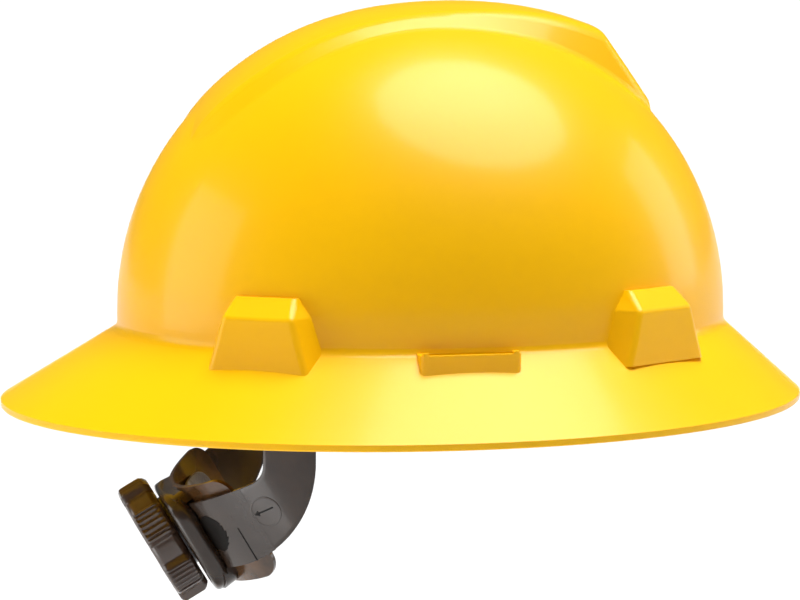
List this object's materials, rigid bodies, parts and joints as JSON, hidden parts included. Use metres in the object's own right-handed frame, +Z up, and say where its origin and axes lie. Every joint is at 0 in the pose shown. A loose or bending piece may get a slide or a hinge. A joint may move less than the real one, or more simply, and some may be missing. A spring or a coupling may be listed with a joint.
{
  "type": "full brim hard hat",
  "caption": "Full brim hard hat with a raised V crest, corner pockets, side accessory slots, webbing harness and a ratchet nape strap turned by a ribbed knob",
  "frame": {"origin": "where the hat sits on a head: the centre of the headband in the plane of its lower edge", "axes": "+X points to the front of the hat, +Y to the wearer's left, +Z up through the crown"},
  "size_m": [0.318, 0.278, 0.2345],
  "materials": {
    "shell": "glossy yellow moulded shell",
    "harness_plastic": "dark moulded plastic",
    "smoke_plastic": "smoky brown polished plastic",
    "knob_plastic": "smoky brown plastic, lightly grained",
    "webbing": "dark woven webbing",
    "pad_fabric": "dark soft padding",
    "gear_plastic": "natural moulded plastic",
    "screw_steel": "zinc plated steel"
  },
  "bodies": {
    "helmet": {"shell": "shell", "headband": "harness_plastic", "brow_pad": "pad_fabric", "crown_strap_left": "webbing", "crown_strap_right": "webbing", "front_left_key": "harness_plastic", "front_right_key": "harness_plastic", "rear_left_key": "harness_plastic", "rear_right_key": "harness_plastic", "left_arm": "smoke_plastic", "right_arm": "smoke_plastic", "left_arm_stud": "harness_plastic", "right_arm_stud": "harness_plastic"},
    "ratchet": {"nape_plate": "smoke_plastic", "nape_pad": "pad_fabric", "nape_cover": "smoke_plastic"},
    "knob_drive": {"ratchet_knob": "knob_plastic", "pinion": "gear_plastic", "axle_screw": "screw_steel", "ratchet_pawl": "gear_plastic"},
    "right_strap": {"right_rack": "smoke_plastic"},
    "left_strap": {"left_rack": "smoke_plastic"}
  },
  "joints": [
    {"name": "nape_advance", "type": "slide", "parent": "helmet", "child": "ratchet", "axis": [0.866, 0, 0.5], "range_m": [-0.013, 0.027], "deforming": ["left_arm", "right_arm"]},
    {"name": "knob_turn", "type": "hinge", "parent": "ratchet", "child": "knob_drive", "pos_m": [-0.09276, 0, -0.06233], "axis": [0.866, 0, 0.5], "range_deg": [-124, 257.8]},
    {"name": "right_rack_slide", "type": "hinge", "parent": "ratchet", "child": "right_strap", "pos_m": [-0.04287, 0, -0.02475], "axis": [0.5, 0, -0.866], "range_deg": [-11.8, 24.5]},
    {"name": "left_rack_slide", "type": "hinge", "parent": "ratchet", "child": "left_strap", "pos_m": [-0.04287, 0, -0.02475], "axis": [0.5, 0, -0.866], "range_deg": [-25.2, 12.2]}
  ],
  "couplings": [
    {"joint": "nape_advance", "follows": "knob_turn", "m_per_rad": 0.006},
    {"joint": "right_rack_slide", "follows": "knob_turn", "ratio": 0.094787},
    {"joint": "left_rack_slide", "follows": "knob_turn", "ratio": -0.097403}
  ]
}
